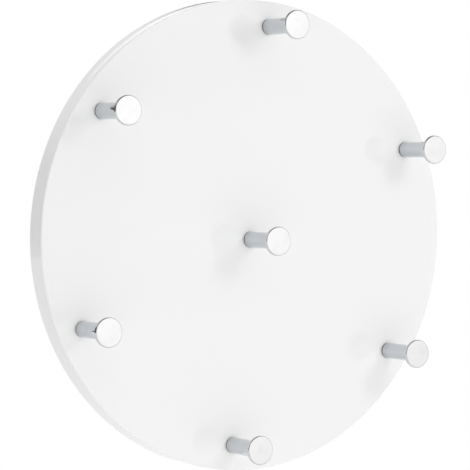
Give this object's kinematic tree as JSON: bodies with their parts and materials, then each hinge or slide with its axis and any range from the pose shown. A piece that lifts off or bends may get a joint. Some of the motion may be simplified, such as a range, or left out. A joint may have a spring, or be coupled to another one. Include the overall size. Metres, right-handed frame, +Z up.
{
  "type": "round wall hook rack",
  "caption": "Round white gloss wall board with chrome mushroom pegs for coats and bags, hung on recessed keyhole plates at its back.",
  "frame": {"origin": "middle of the board's back, on the wall plane", "axes": "+Z up on the wall, -Y out of the wall towards the viewer, +X to the right as seen from the front"},
  "size_m": [0.35, 0.0573, 0.35],
  "materials": {
    "white_lacquer": "MDF with a white high-gloss lacquer all round",
    "chrome": "polished chrome plate on turned metal",
    "zinc_plate": "bright zinc-plated steel"
  },
  "bodies": {
    "root": {"round_board": "white_lacquer", "peg_centre": "chrome", "peg_top": "chrome", "peg_upper_right": "chrome", "peg_lower_right": "chrome", "peg_bottom": "chrome", "peg_lower_left": "chrome", "peg_upper_left": "chrome", "washer_centre": "zinc_plate", "washer_top": "zinc_plate", "washer_upper_right": "zinc_plate", "washer_lower_right": "zinc_plate", "washer_bottom": "zinc_plate", "washer_lower_left": "zinc_plate", "washer_upper_left": "zinc_plate", "peg_screw_centre": "zinc_plate", "peg_screw_top": "zinc_plate", "peg_screw_upper_right": "zinc_plate", "peg_screw_lower_right": "zinc_plate", "peg_screw_bottom": "zinc_plate", "peg_screw_lower_left": "zinc_plate", "peg_screw_upper_left": "zinc_plate", "hanger_plate_left": "zinc_plate", "hanger_plate_right": "zinc_plate", "hanger_screw_left_low": "zinc_plate", "hanger_screw_left_high": "zinc_plate", "hanger_screw_right_low": "zinc_plate", "hanger_screw_right_high": "zinc_plate"}
  },
  "joints": []
}
